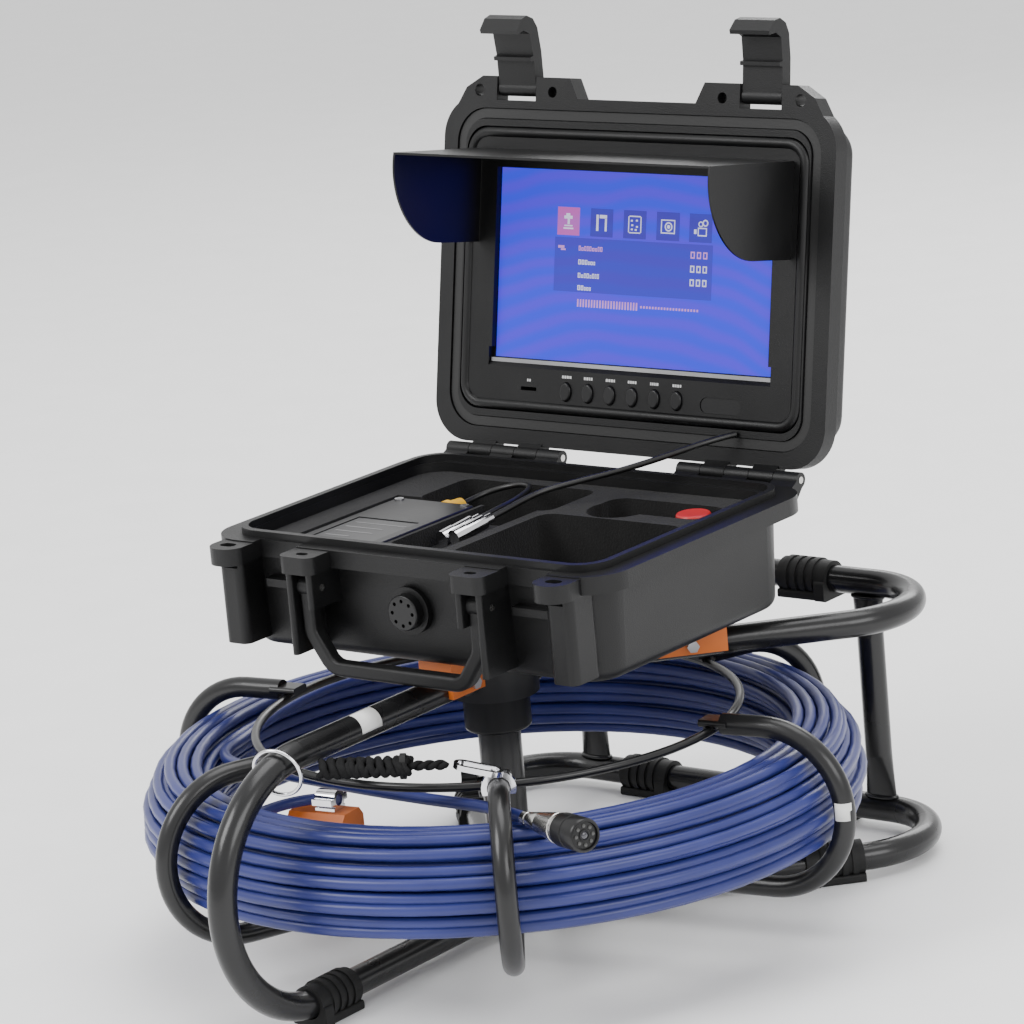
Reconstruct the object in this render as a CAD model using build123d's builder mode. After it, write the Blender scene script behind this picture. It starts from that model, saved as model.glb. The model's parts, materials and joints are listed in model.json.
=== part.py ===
from build123d import *
import os
from math import cos, sin, tan, radians, pi, sqrt, hypot

# Pipe inspection camera: an open monitor case that stands on a bent-tube frame, with a
# cage reel of push-rod cable turning about a vertical hub between the frame's two levels.
# Millimetres, +Z up. X is across the case, -Y is the case's front, z = 0 is the floor.

os.makedirs("parts", exist_ok=True)

# ---- driving dimensions ------------------------------------------------------------
HY = 7.85            # y of the hub axis, which puts the origin under the middle of the box
TUBE_R = 8.0         # frame tube, 16 mm outside
WALL = 1.5           # tube wall
ZL = 12.0            # centre height of the lower tubes
ZU = 150.6           # centre height of the upper tubes
CB_Y = 174.0         # the front bend starts this far ahead of the hub
BACK_Y = 223.5       # the rear tubes lie this far behind the hub
BEND_R = 47.0        # bend radius of the rear loops
HUB_TUBE_R = 12.2    # turning hub tube
AXLE_R = 6.0
HOOP_R = 6.0         # cage hoop rod
HOOP_C = 167.5       # centre of a hoop's C, radially
HOOP_Z = 81.7
HOOP_BEND = 46.0
HOOP_AT = [-52 + 60 * i for i in range(6)]
RING_R = 136.8       # thin top ring
RING_Z = 124.2
CABLE_D = 6.7
HINGE_Y = 133.5      # lid hinge axis, behind the hub
HINGE_Z = 236.0
TILT = 11.4          # the open lid leans this far past upright
CASE_YC = 25.2       # middle of the case behind the hub
RIM_Z = 234.0        # top of the base flange
CASE_Z = 170.0       # underside of the case
SCREEN_V = 112.0
BUTTON_X = [-43.0 + 15.9 * i for i in range(6)]
BUTTON_V = 38.5
LATCH_X = 87.0
LATCH_V = 214.0


# ---- planes ------------------------------------------------------------------------
def XY(z):
    return Plane(origin=(0, HY, z))


def YZ(x):
    return Plane(origin=(x, HY, 0), x_dir=(0, 1, 0), z_dir=(1, 0, 0))


def XZ(y):
    return Plane(origin=(0, HY + y, 0), x_dir=(1, 0, 0), z_dir=(0, -1, 0))


def RAD(deg):
    c, s = cos(radians(deg)), sin(radians(deg))
    return Plane(origin=(0, HY, 0), x_dir=(c, s, 0), z_dir=(s, -c, 0))


def LID(w):
    c, s = cos(radians(TILT)), sin(radians(TILT))
    return Plane(
        origin=(0, HY + HINGE_Y - w * c, HINGE_Z + w * s),
        x_dir=(1, 0, 0),
        z_dir=(0, -c, s),
    )


def on_lid(x, v, w):
    c, s = cos(radians(TILT)), sin(radians(TILT))
    return (x, HY + HINGE_Y + v * s - w * c, HINGE_Z + v * c + w * s)


def SIDE_LID(x):
    # local x along the lid's height, local y out of its open face
    c, s = cos(radians(TILT)), sin(radians(TILT))
    return Plane(origin=(x, HY + HINGE_Y, HINGE_Z), x_dir=(0, s, c), z_dir=(1, 0, 0))


def save(piece, name):
    piece.part.label = name
    export_step(piece.part, f"parts/{name}.step")


def cord_radii(points, name):
    # each corner's arc takes 0.45 of its shorter run
    v = [Vector(*p) for p in points]
    out = []
    for a, b, c in zip(v, v[1:], v[2:]):
        turn = radians((b - a).get_angle(c - b))
        out.append(0.45 * min((b - a).length, (c - b).length) / tan(turn / 2))
    runs = [(b - a).length for a, b in zip(v, v[1:])]
    print(name, "runs", [round(r, 1) for r in runs], "radii", [round(r, 1) for r in out])
    return out


# ---- frame tubes -------------------------------------------------------------------
with BuildPart() as front_frame_tube:
    with BuildLine(YZ(0)) as path:
        Line((-13, ZU), (-CB_Y, ZU))
        CenterArc((-CB_Y, (ZU + ZL) / 2), (ZU - ZL) / 2, 90, 180)
        Line((-CB_Y, ZL), (-13, ZL))
    with BuildSketch(Plane(origin=(0, HY - 13, ZU), z_dir=(0, -1, 0))):
        Circle(TUBE_R)
        Circle(TUBE_R - WALL, mode=Mode.SUBTRACT)
    sweep(path=path.line)
save(front_frame_tube, "front_frame_tube")

for z, node in ((ZU, "upper_back_tube"), (ZL, "lower_back_tube")):
    with BuildPart() as loop:
        with BuildLine(XY(z)) as path:
            FilletPolyline(
                (9.5, 9.5), (BACK_Y, BACK_Y), (-BACK_Y, BACK_Y), (-9.5, 9.5), radius=BEND_R
            )
        with BuildSketch(Plane(origin=(9.5, HY + 9.5, z), z_dir=(1, 1, 0))):
            Circle(TUBE_R)
            Circle(TUBE_R - WALL, mode=Mode.SUBTRACT)
        sweep(path=path.line)
    save(loop, node)

# two upright stays between the rear tubes, round in the middle and pressed flat at the ends
with BuildPart() as back_struts:
    for sx in (-1, 1):
        for z0, z1 in (
            (ZL + TUBE_R + 0.1, ZL + 34),
            (ZU - TUBE_R - 0.1, ZU - 32),
        ):
            with BuildSketch(Plane(origin=(sx * 105, HY + 222, z0))):
                Ellipse(10.4, 3.6)
            with BuildSketch(Plane(origin=(sx * 105, HY + 222, z1))):
                Ellipse(8.0, 7.6)
            loft()
        with BuildSketch(Plane(origin=(sx * 105, HY + 222, ZL + 34))):
            Ellipse(8.0, 7.6)
        extrude(amount=ZU - 32 - ZL - 34)
save(back_struts, "back_struts")

# ---- hub blocks, axle, bearing -----------------------------------------------------
with BuildPart() as upper_hub:
    with BuildSketch(XY(136.6)):
        Circle(25)
    extrude(amount=19)
    with BuildSketch(XY(136.6)):
        Circle(AXLE_R + 0.1)
    extrude(amount=19, mode=Mode.SUBTRACT)
    for deg in (-90, 45, 135):
        with BuildSketch(
            Plane(origin=(0, HY, ZU), z_dir=(cos(radians(deg)), sin(radians(deg)), 0))
        ):
            Circle(TUBE_R + 0.05)
        extrude(amount=30, mode=Mode.SUBTRACT)
save(upper_hub, "upper_hub")

with BuildPart() as lower_hub:
    with BuildSketch(XY(8)):
        Circle(25)
    extrude(amount=16)
    with BuildSketch(XY(8)):
        Circle(AXLE_R + 0.1)
    extrude(amount=16, mode=Mode.SUBTRACT)
    for deg in (-90, 45, 135):
        with BuildSketch(
            Plane(origin=(0, HY, ZL), z_dir=(cos(radians(deg)), sin(radians(deg)), 0))
        ):
            Circle(TUBE_R + 0.05)
        extrude(amount=30, mode=Mode.SUBTRACT)
save(lower_hub, "lower_hub")

with BuildPart() as axle_bolt:
    with BuildSketch(XY(3.0)):
        Circle(AXLE_R)
    extrude(amount=152.7)
    with BuildSketch(XY(155.7)):
        RegularPolygon(10.4, 6)
    extrude(amount=6.5)
save(axle_bolt, "axle_bolt")

with BuildPart() as axle_nut:
    with BuildSketch(XY(2.6)):
        RegularPolygon(10.4, 6)
        Circle(AXLE_R + 0.02, mode=Mode.SUBTRACT)
    extrude(amount=5.2)
save(axle_nut, "axle_nut")

with BuildPart() as bearing_collar:
    with BuildSketch(XY(116)):
        Circle(19)
        Circle(HUB_TUBE_R + 0.5, mode=Mode.SUBTRACT)
    extrude(amount=20.4)
    fillet(bearing_collar.edges().filter_by(GeomType.CIRCLE).group_by(Axis.Z)[0].sort_by(SortBy.RADIUS)[-1:], 2)
save(bearing_collar, "bearing_collar")

with BuildPart() as thrust_washer:
    with BuildSketch(XY(24.2)):
        Circle(16)
        Circle(AXLE_R + 0.2, mode=Mode.SUBTRACT)
    extrude(amount=5.3)
save(thrust_washer, "thrust_washer")


# ---- rubber feet and sleeves -------------------------------------------------------
# each is a ribbed sleeve round the tube with a square pad underneath
D = sqrt(0.5)
FEET = [
    ((0, -167, ZL), (0, -1, 0)),
    ((130.5, 130.5, ZL), (-D, -D, 0)),
    ((-130.5, 130.5, ZL), (D, -D, 0)),
    ((65, BACK_Y, ZL), (-1, 0, 0)),
    ((-65, BACK_Y, ZL), (1, 0, 0)),
]
BUMPERS = [
    ((64, BACK_Y, ZU), (1, 0, 0)),
    ((-64, BACK_Y, ZU), (-1, 0, 0)),
]
for places, node in ((FEET, "rubber_feet"), (BUMPERS, "rubber_bumpers")):
    with BuildPart() as sleeves:
        for centre, along in places:
            run = Vector(*along)
            side = run.cross(Vector(0, 0, 1))
            base = Plane(
                origin=Vector(centre[0], centre[1] + HY, centre[2]) - run * 17,
                x_dir=side,
                z_dir=run,
            )
            down = -1 if base.y_dir.Z > 0 else 1
            with BuildSketch(base):
                Circle(TUBE_R + 2.6)
                with Locations((0, down * 9.4)):
                    RectangleRounded(21, 5.2, 1.5)
                Circle(TUBE_R + 0.05, mode=Mode.SUBTRACT)
            extrude(amount=34)
            for off in (4, 10, 16, 22):
                with BuildSketch(base.offset(off)):
                    Circle(TUBE_R + 3.6)
                    Circle(TUBE_R + 0.05, mode=Mode.SUBTRACT)
                extrude(amount=3.4)
            with BuildSketch(base.offset(27)):
                with Locations((0, down * 5.8)):
                    RectangleRounded(24, 12.4, 2)
                Circle(TUBE_R + 0.05, mode=Mode.SUBTRACT)
            extrude(amount=7)
        # the front foot's bore follows the start of the bend
        with BuildLine(YZ(0)) as path:
            Line((-140, ZL), (-CB_Y, ZL))
            CenterArc((-CB_Y, (ZU + ZL) / 2), (ZU - ZL) / 2, -90, -60)
        with BuildSketch(Plane(origin=(0, HY - 140, ZL), z_dir=(0, -1, 0))):
            Circle(TUBE_R + 0.06)
        sweep(path=path.line, mode=Mode.SUBTRACT)
    save(sleeves, node)

# ---- orange saddles between the upper tubes and the case ----------------------------
with BuildPart() as case_saddles:
    for deg, rr, ln in ((-90, 32, 38), (45, 112, 40), (135, 112, 40)):
        c, s = cos(radians(deg)), sin(radians(deg))
        a = rr - ln / 2
        pl = Plane(origin=(c * a, HY + s * a, ZU), x_dir=(-s, c, 0), z_dir=(c, s, 0))
        with BuildSketch(pl):
            with BuildLine():
                Polyline((-11.5, 19.3), (-11.5, -3.5), (11.5, -3.5), (11.5, 19.3), (-11.5, 19.3))
            make_face()
            Circle(TUBE_R + 0.05, mode=Mode.SUBTRACT)
            with Locations((0, -4.05)):
                Rectangle(2 * TUBE_R + 0.1, 8.1, mode=Mode.SUBTRACT)
        extrude(amount=ln)
    with BuildSketch(XY(140)):
        Circle(25.3)
    extrude(amount=15.9, mode=Mode.SUBTRACT)
save(case_saddles, "case_saddles")

with BuildPart() as saddle_bolts:
    for deg, rr in ((-90, 32), (45, 112), (135, 112)):
        c, s = cos(radians(deg)), sin(radians(deg))
        for sgn in (-1, 1):
            o = Vector(c * rr, HY + s * rr, ZU + 1.5) + Vector(s, -c, 0) * (sgn * 11.6)
            with BuildSketch(Plane(origin=o, z_dir=(s * sgn, -c * sgn, 0))):
                RegularPolygon(3.6, 6)
            extrude(amount=2.6)
save(saddle_bolts, "saddle_bolts")

# ---- reel --------------------------------------------------------------------------
with BuildPart() as reel_hub:
    with BuildSketch(XY(30)):
        Circle(HUB_TUBE_R)
    extrude(amount=102)
    with BuildSketch(XY(30)):
        Circle(16)
    extrude(amount=13)
    chamfer(reel_hub.edges().filter_by(GeomType.CIRCLE).group_by(Axis.Z)[1].sort_by(SortBy.RADIUS)[-1:], 2)
    with BuildSketch(XY(30)):
        Circle(9.5)
    extrude(amount=102, mode=Mode.SUBTRACT)
    # threaded hole for the brake screw
    with BuildSketch(Plane(origin=(0, HY, 84), z_dir=(-0.82, -0.57, 0))):
        Circle(3.1)
    extrude(amount=20, mode=Mode.SUBTRACT)
save(reel_hub, "reel_hub")

with BuildPart() as hub_bushes:
    for z in (30, 116):
        with BuildSketch(XY(z)):
            Circle(9.5)
            Circle(AXLE_R + 0.05, mode=Mode.SUBTRACT)
        extrude(amount=16)
save(hub_bushes, "hub_bushes")

with BuildPart() as cage_hoops:
    for deg in HOOP_AT:
        c, s = cos(radians(deg)), sin(radians(deg))
        with BuildLine(RAD(deg)) as path:
            Line((143, HOOP_Z + HOOP_BEND), (HOOP_C, HOOP_Z + HOOP_BEND))
            CenterArc((HOOP_C, HOOP_Z), HOOP_BEND, 90, -180)
            Line((HOOP_C, HOOP_Z - HOOP_BEND), (16.3, HOOP_Z - HOOP_BEND))
        with BuildSketch(
            Plane(origin=(143 * c, HY + 143 * s, HOOP_Z + HOOP_BEND), z_dir=(c, s, 0))
        ):
            Circle(HOOP_R)
        sweep(path=path.line)
        # flattened end that is welded on the ring
        with BuildSketch(
            Plane(origin=(131 * c, HY + 131 * s, 128.7), x_dir=(-s, c, 0), z_dir=(c, s, 0))
        ):
            RectangleRounded(14, 4, 1.9)
        extrude(amount=17)
save(cage_hoops, "cage_hoops")

with BuildPart() as cage_ring:
    with BuildSketch(RAD(0)):
        with Locations((RING_R, RING_Z)):
            Circle(2.5)
    revolve(axis=Axis((0, HY, 0), (0, 0, 1)))
save(cage_ring, "cage_ring")

# cable start clamp on one hoop's lower arm
with BuildPart() as cable_anchor:
    c, s = cos(radians(-172)), sin(radians(-172))
    pl = Plane(origin=(104 * c, HY + 104 * s, 0), x_dir=(-s, c, 0), z_dir=(c, s, 0))
    with BuildSketch(pl):
        with BuildLine():
            Polyline((-12, 34), (-12, 52), (-8, 57), (8, 57), (12, 52), (12, 34), (-12, 34))
        make_face()
        with Locations((0, HOOP_Z - HOOP_BEND)):
            Circle(HOOP_R + 0.05, mode=Mode.SUBTRACT)
        with Locations((0, 34)):
            Rectangle(2 * HOOP_R + 0.1, 3.4, mode=Mode.SUBTRACT)
    extrude(amount=38)
save(cable_anchor, "cable_anchor")

with BuildPart() as anchor_clamp:
    with BuildSketch(Plane(origin=(112 * c, HY + 112 * s, 0), x_dir=(-s, c, 0), z_dir=(c, s, 0))):
        with Locations((0, 63.4)):
            Circle(6)
            Rectangle(18, 3.6)
            Circle(3.6, mode=Mode.SUBTRACT)
        with Locations((0, 58.2)):
            Rectangle(12, 2.2)
    extrude(amount=13)
save(anchor_clamp, "anchor_clamp")

# brake screw with a ribbed knob: its tip presses the still axle when it is tight
with BuildPart() as brake_knob:
    pl = Plane(origin=(0, HY, 84), z_dir=(-0.82, -0.57, 0))
    with BuildSketch(pl.offset(6.4)):
        Circle(3.0)
    extrude(amount=9)
    with BuildSketch(pl.offset(14.4)):
        Circle(9.4)
    extrude(amount=9)
    with BuildSketch(pl.offset(14.4)):
        with PolarLocations(10.6, 10):
            Circle(2.4)
    extrude(amount=9, mode=Mode.SUBTRACT)
save(brake_knob, "brake_knob")

# ---- push-rod cable ----------------------------------------------------------------
with BuildPart() as cable_coil:
    with BuildSketch(RAD(0)):
        with Locations((HOOP_C, HOOP_Z)):
            Circle(39.6)
        with Locations((HOOP_C + 19.1, (59.0 + 114.0) / 2)):
            Rectangle(46, 55, mode=Mode.INTERSECT)
    revolve(axis=Axis((0, HY, 0), (0, 0, 1)))
save(cable_coil, "cable_coil")

TAIL = [
    (-157.2, -41.0, 102.0),
    (-149.0, -66.0, 104.0),
    (-131.0, -86.5, 106.5),
    (-104.0, -99.5, 109.0),
    (-70.0, -106.5, 111.0),
    (-33.0, -111.0, 112.0),
    (8.0, -114.5, 112.6),
    (46.0, -116.5, 113.4),
    (78.0, -120.0, 115.6),
    (103.0, -128.0, 117.9),
    (124.5, -136.0, 118.9),
]
with BuildPart() as cable_tail:
    pts = [(x, y + HY, z) for x, y, z in TAIL]
    with BuildLine() as path:
        FilletPolyline(*pts, radius=cord_radii(pts, "cable_tail"))
    with BuildSketch(Plane(origin=path.line @ 0, z_dir=path.line % 0)):
        Circle(CABLE_D / 2)
    sweep(path=path.line)
print("cable_tail length", sum(e.length for e in path.line.edges()), "volume/section", cable_tail.part.volume / (pi * (CABLE_D / 2) ** 2))
save(cable_tail, "cable_tail")

HEAD_A = Vector(124.5, HY - 136.0, 118.9)
HEAD_B = Vector(182.5, HY - 159.0, 123.6)
HEAD_D = (HEAD_B - HEAD_A).normalized()
HEAD_PL = Plane(origin=HEAD_A, x_dir=HEAD_D, z_dir=HEAD_D.cross(Vector(0, 0, 1)).normalized())
with BuildPart() as camera_head:
    with BuildSketch(HEAD_PL):
        with BuildLine():
            Polyline((0.1, 0), (0.1, 3.6), (4, 4.0), (32, 8.1), (37, 8.6), (37, 0), (0.1, 0))
        make_face()
    revolve(axis=Axis(HEAD_A, HEAD_D))
save(camera_head, "camera_head")

with BuildPart() as lens_cap:
    with BuildSketch(HEAD_PL):
        with BuildLine():
            Polyline((37, 0), (37, 8.9), (38.5, 9.2), (57, 9.2), (59, 8.4), (59, 0), (37, 0))
        make_face()
    revolve(axis=Axis(HEAD_A, HEAD_D))
    with BuildSketch(Plane(origin=HEAD_A + HEAD_D * 59, z_dir=HEAD_D)):
        Circle(7.4)
    extrude(amount=-2.2, mode=Mode.SUBTRACT)
save(lens_cap, "lens_cap")

with BuildPart() as lens_window:
    with BuildSketch(Plane(origin=HEAD_A + HEAD_D * 56.8, z_dir=HEAD_D)):
        Circle(7.35)
    extrude(amount=1.2)
save(lens_window, "lens_window")

# ---- lanyard -----------------------------------------------------------------------
with BuildPart() as split_ring:
    ring_c = Vector(0, HY - 189.0, 145.2)
    ring_n = Vector(0.22, -0.94, -0.26).normalized()
    ring_x = ring_n.cross(Vector(0, 0, 1)).normalized()
    with BuildSketch(Plane(origin=ring_c, x_dir=ring_x, z_dir=ring_x.cross(ring_n))):
        with Locations((13.7, 0)):
            Circle(1.1)
    revolve(axis=Axis(ring_c, ring_n))
save(split_ring, "split_ring")

LAN_A = Vector(17.0, HY - 175.2, 145.2)
LAN_B = Vector(58.0, HY - 147.5, 143.6)
d = (LAN_B - LAN_A).normalized()
with BuildPart() as lanyard:
    with BuildSketch(Plane(origin=LAN_A, x_dir=d.cross(Vector(0, 0, 1)), z_dir=d)):
        RectangleRounded(22, 9, 4)
    extrude(amount=(LAN_B - LAN_A).length)
    with BuildSketch(Plane(origin=LAN_B, x_dir=d.cross(Vector(0, 0, 1)), z_dir=d)):
        RectangleRounded(10, 6, 2.8)
    extrude(amount=20)
save(lanyard, "lanyard")

# snap hook: an oval eye, and a hook over one hoop's top
with BuildPart() as carabiner:
    eye = Vector(17.0, 11.4, -5.6).normalized()
    side = eye.cross(Vector(0, 0, 1)).normalized()
    with BuildSketch(Plane(origin=(87.2, HY - 127.6, 139.6), x_dir=eye, z_dir=side.cross(eye))):
        SlotOverall(27, 12.5)
        SlotOverall(22.4, 7.9, mode=Mode.SUBTRACT)
    extrude(amount=1.5, both=True)
    c, s = cos(radians(-52)), sin(radians(-52))
    with BuildSketch(
        Plane(origin=(150 * c, HY + 150 * s, 0), x_dir=(-s, c, 0), z_dir=(c, s, 0))
    ):
        with Locations((0, HOOP_Z + HOOP_BEND)):
            Circle(9.4)
            Circle(6.4, mode=Mode.SUBTRACT)
        with Locations((0, HOOP_Z + HOOP_BEND - 8.4)):
            Rectangle(24, 10, mode=Mode.SUBTRACT)
    extrude(amount=5)
save(carabiner, "carabiner")

# ---- case base ---------------------------------------------------------------------
with BuildPart() as case_base:
    with BuildSketch(Plane(origin=(0, HY + CASE_YC, CASE_Z))):
        RectangleRounded(252, 176, 20)
    extrude(amount=56, taper=-3)
    fillet(case_base.faces().sort_by(Axis.Z)[0].edges(), 7)
    # front ribs, closed against the wall and round in front
    for sx in (-1, 1):
        for x, w in ((115.0, 17.0), (66.6, 4.4), (52.4, 4.4)):
            y0 = 90.5 if w < 10 else 84.0
            z0 = 203 if x == 52.4 else CASE_Z + 6
            with BuildSketch(Plane(origin=(sx * x, HY, z0))):
                with Locations((0, -(y0 + 60) / 2)):
                    RectangleRounded(w, y0 - 60, min(w / 2 - 0.1, 5))
            extrude(amount=225.5 - z0)
    # flange
    with BuildSketch(Plane(origin=(0, HY + CASE_YC, 224))):
        RectangleRounded(279, 201.4, 24)
    extrude(amount=10)
    # corner and latch ears
    with BuildSketch(Plane(origin=(0, HY, 223.4))):
        for sx in (-1, 1):
            with Locations((sx * 113.6, -80.0)):
                RectangleRounded(23, 27, 10.5)
            with Locations((sx * 59.5, -80.5)):
                RectangleRounded(24, 25, 6)
    extrude(amount=10.0)
    # room for the latches
    with BuildSketch(Plane(origin=(0, HY, 214))):
        for sx in (-1, 1):
            with Locations((sx * LATCH_X, -85)):
                Rectangle(31, 32)
    extrude(amount=30, mode=Mode.SUBTRACT)
    # catch under each latch
    for sx in (-1, 1):
        with BuildSketch(Plane(origin=(sx * LATCH_X, HY - 68, 208))):
            RectangleRounded(26, 9, 2)
        extrude(amount=4.5)
    # inside
    with BuildSketch(Plane(origin=(0, HY + CASE_YC, CASE_Z + 3.5))):
        RectangleRounded(243, 167, 16)
    extrude(amount=61, taper=-2, mode=Mode.SUBTRACT)
    # seal ridge
    with BuildSketch(Plane(origin=(0, HY + CASE_YC, 233.5))):
        RectangleRounded(256, 185, 19)
        RectangleRounded(248, 177, 15, mode=Mode.SUBTRACT)
    extrude(amount=4.5)
    # padlock and latch holes
    with BuildSketch(Plane(origin=(0, HY, 220))):
        for sx in (-1, 1):
            with Locations((sx * 114.2, -79.0 - 4.5)):
                SlotOverall(10, 6.4)
            with Locations((sx * 59.0, -85.0)):
                SlotOverall(7.5, 4.4)
    extrude(amount=16, mode=Mode.SUBTRACT)
    # handle pin holes
    with BuildSketch(YZ(-75)):
        with Locations((-81.0, 214.0)):
            Circle(2.05)
    extrude(amount=150, mode=Mode.SUBTRACT)
    # seat for the pressure valve
    with BuildSketch(XZ(-60)):
        with Locations((0, 202)):
            Circle(13.5)
    extrude(amount=8.6)
    with BuildSketch(XZ(-50)):
        with Locations((0, 202)):
            Circle(4.6)
    extrude(amount=25, mode=Mode.SUBTRACT)
    # hinge knuckles
    for sx in (-1, 1):
        for k in (0, 2, 4):
            x0 = 42 + 16.8 * k + 0.2
            with BuildSketch(YZ(sx * (x0 + 8.2) - 8.2)):
                with BuildLine():
                    Polyline((124.6, 225), (124.6, 233.9), (HINGE_Y - 2.5, HINGE_Z + 1.2), (HINGE_Y + 1.5, HINGE_Z - 3.9), (128, 225), (124.6, 225))
                make_face()
                with Locations((HINGE_Y, HINGE_Z)):
                    Circle(4.4)
            extrude(amount=16.4)
    with BuildSketch(YZ(-135)):
        with Locations((HINGE_Y, HINGE_Z)):
            Circle(2.05)
    extrude(amount=270, mode=Mode.SUBTRACT)
save(case_base, "case_base")

# ---- foam insert -------------------------------------------------------------------
with BuildPart() as foam_insert:
    with BuildSketch(Plane(origin=(0, HY + CASE_YC, CASE_Z + 4))):
        RectangleRounded(242, 166, 15)
    extrude(amount=54.5, taper=-2)
    with BuildSketch(Plane(origin=(0, HY, 180))):
        with Locations((56.5, 4)):
            RectangleRounded(97, 91, 9)
    extrude(amount=60, mode=Mode.SUBTRACT)
    with BuildSketch(Plane(origin=(0, HY, 186))):
        with Locations((-72, -0.5)):
            Rectangle(63, 110)
        with Locations((-40, 76)):
            RectangleRounded(96, 48, 8)
    extrude(amount=60, mode=Mode.SUBTRACT)
    with BuildSketch(Plane(origin=(0, HY, 217))):
        with Locations((-19, 10)):
            RectangleRounded(38, 96, 8)
    extrude(amount=30, mode=Mode.SUBTRACT)
    with BuildSketch(Plane(origin=(0, HY, 206))):
        with Locations((66, 78)):
            RectangleRounded(78, 28, 10)
        with Locations((45, 70)):
            Circle(19)
    extrude(amount=30, mode=Mode.SUBTRACT)
save(foam_insert, "foam_insert")

with BuildPart() as battery_case:
    with BuildSketch(Plane(origin=(-73, HY - 0.5, 187))):
        RectangleRounded(57, 105, 3)
    extrude(amount=41)
    fillet(battery_case.faces().sort_by(Axis.Z)[-1].edges(), 1.2)
    with BuildSketch(Plane(origin=(-73, HY - 15.5, 226.6))):
        Rectangle(44, 48)
    extrude(amount=3, mode=Mode.SUBTRACT)
save(battery_case, "battery_case")

with BuildPart() as battery_label_plate:
    with BuildSketch(Plane(origin=(-73, HY - 15.5, 226.7))):
        Rectangle(43, 47)
    extrude(amount=0.9)
save(battery_label_plate, "battery_label_plate")

with BuildPart() as battery_screws:
    with BuildSketch(Plane(origin=(-73, HY - 0.5, 228.05))):
        with GridLocations(48, 96, 2, 2):
            Circle(2.6)
            Rectangle(3.4, 0.8, mode=Mode.SUBTRACT)
    extrude(amount=0.8)
save(battery_screws, "battery_screws")

with BuildPart() as dc_plug:
    with BuildSketch(XZ(52.6)):
        with Locations((-68, 222)):
            Circle(5.2)
    extrude(amount=-15, taper=3)
    with BuildSketch(XZ(52.6)):
        with Locations((-68, 222)):
            Circle(6.0)
    extrude(amount=-4)
save(dc_plug, "dc_plug")

with BuildPart() as av_connectors:
    for x, y, z in ((-9.0, 21.5, 231.2), (-18.5, 22.5, 229.6)):
        mouth = Plane(origin=(x, HY + y, z), z_dir=(-2.5, -12.5, -2.3))
        with BuildSketch(mouth.offset(0.1)):
            Circle(3.1)
        extrude(amount=6)
        with BuildSketch(mouth.offset(6)):
            Circle(4.3)
        extrude(amount=14)
        with BuildSketch(mouth.offset(20)):
            Circle(4.7)
        extrude(amount=9)
save(av_connectors, "av_connectors")

with BuildPart() as spare_cap:
    with BuildSketch(Plane(origin=(90, HY + 78, 206.3))):
        Circle(10)
    extrude(amount=22)
    fillet(spare_cap.faces().sort_by(Axis.Z)[-1].edges(), 1.5)
save(spare_cap, "spare_cap")

# ---- pressure valve and handle -----------------------------------------------------
with BuildPart() as pressure_valve:
    with BuildSketch(XZ(-59.4)):
        with Locations((0, 202)):
            Circle(4.5)
    extrude(amount=9.6)
    with BuildSketch(XZ(-69)):
        with Locations((0, 202)):
            Circle(10.2)
    extrude(amount=5.5)
    fillet(pressure_valve.faces().sort_by(Axis.Y)[0].edges(), 1.0)
    with BuildSketch(XZ(-74.6)):
        with Locations((0, 202)):
            with PolarLocations(7.0, 8):
                Circle(1.1)
    extrude(amount=-3.5, mode=Mode.SUBTRACT)
save(pressure_valve, "pressure_valve")

with BuildPart() as carry_handle:
    with BuildLine(XZ(-81.0)) as path:
        FilletPolyline((-59.5, 214), (-59.0, 188), (-46, 168.6), (46, 168.6), (59.0, 188), (59.5, 214), radius=12)
    with BuildSketch(Plane(origin=path.line @ 0, x_dir=(0, 1, 0), z_dir=path.line % 0)):
        RectangleRounded(9.0, 8.6, 2.2)
    sweep(path=path.line)
    for sx in (-1, 1):
        with BuildSketch(YZ(sx * 59.5 - 4.4)):
            with Locations((-81.0, 214)):
                Circle(5.6)
        extrude(amount=8.8)
    with BuildSketch(YZ(-75)):
        with Locations((-81.0, 214)):
            Circle(2.05)
    extrude(amount=150, mode=Mode.SUBTRACT)
save(carry_handle, "carry_handle")

with BuildPart() as handle_pins:
    for x in (-68.6, 50.4):
        with BuildSketch(YZ(x)):
            with Locations((-81.0, 214)):
                Circle(2.0)
        extrude(amount=18.2)
save(handle_pins, "handle_pins")

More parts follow.
